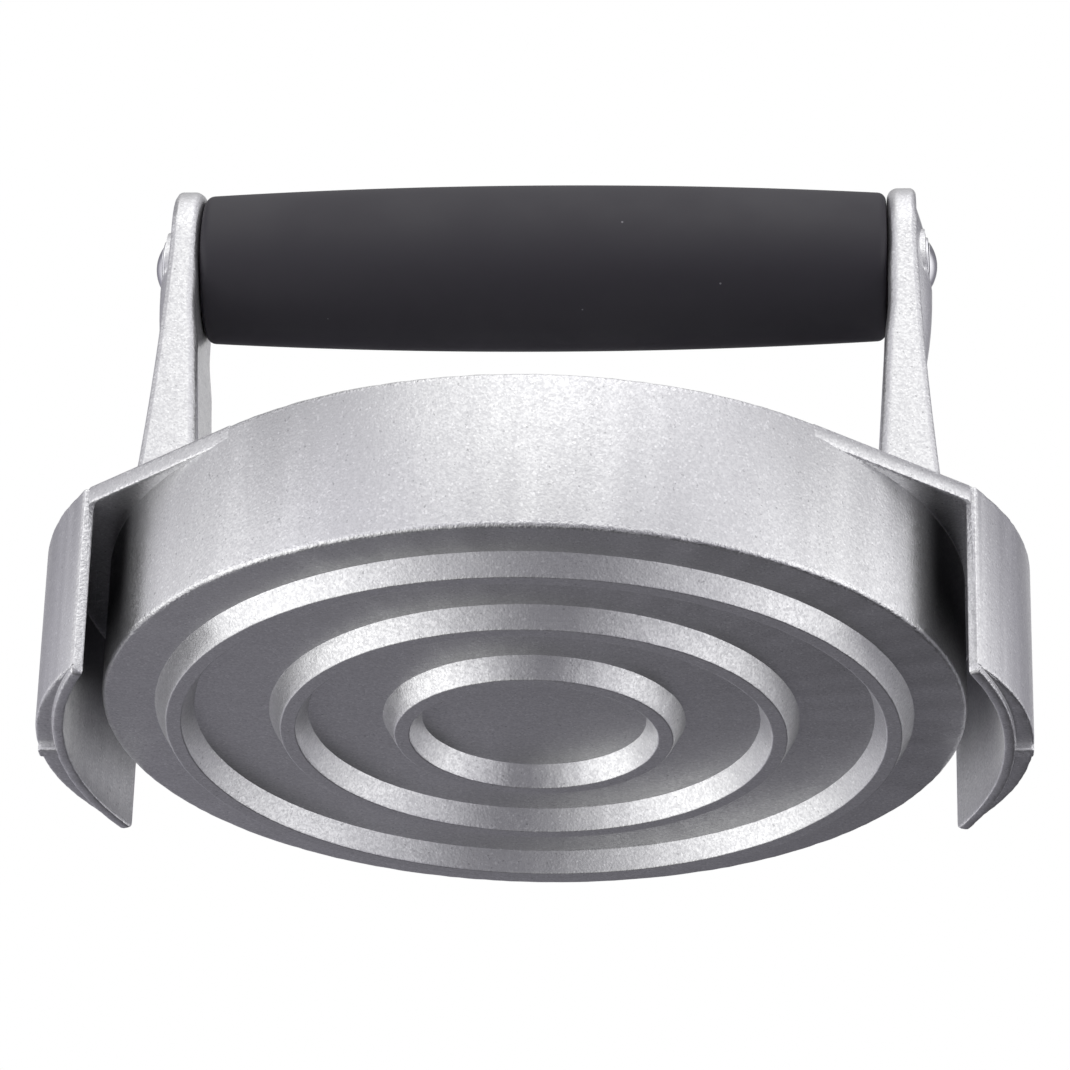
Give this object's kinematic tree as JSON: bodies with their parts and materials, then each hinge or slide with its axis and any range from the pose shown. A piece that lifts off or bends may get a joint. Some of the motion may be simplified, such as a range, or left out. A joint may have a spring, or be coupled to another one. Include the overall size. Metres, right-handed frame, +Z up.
{
  "type": "burger press",
  "caption": "Hand press for burger patties: ridged round plate with a raised rim, curved side guides, and a turning barrel grip between upright arms.",
  "frame": {"origin": "under the middle of the plate, on the flat plane of the feet of the two side guides", "axes": "+X along the grip, +Y to the back, +Z up from the plate to the grip"},
  "size_m": [0.1266, 0.11, 0.082],
  "materials": {
    "cast_aluminium": "satin silver with a fine metallic sparkle",
    "soft_grip": "smooth satin charcoal",
    "grip_core": "moulded matte black",
    "axle_steel": "turned",
    "bright_steel": "polished"
  },
  "bodies": {
    "press_body": {"press_casting": "cast_aluminium", "handle_axle": "axle_steel", "left_washer": "bright_steel", "right_washer": "bright_steel", "left_dome_rivet": "bright_steel", "right_dome_rivet": "bright_steel"},
    "grip": {"grip_sleeve": "soft_grip", "grip_core_tube": "grip_core"}
  },
  "joints": [
    {"name": "grip_spin", "type": "hinge", "parent": "press_body", "child": "grip", "pos_m": [0, 0, 0.0709], "axis": [1, 0, 0], "continuous": true}
  ]
}
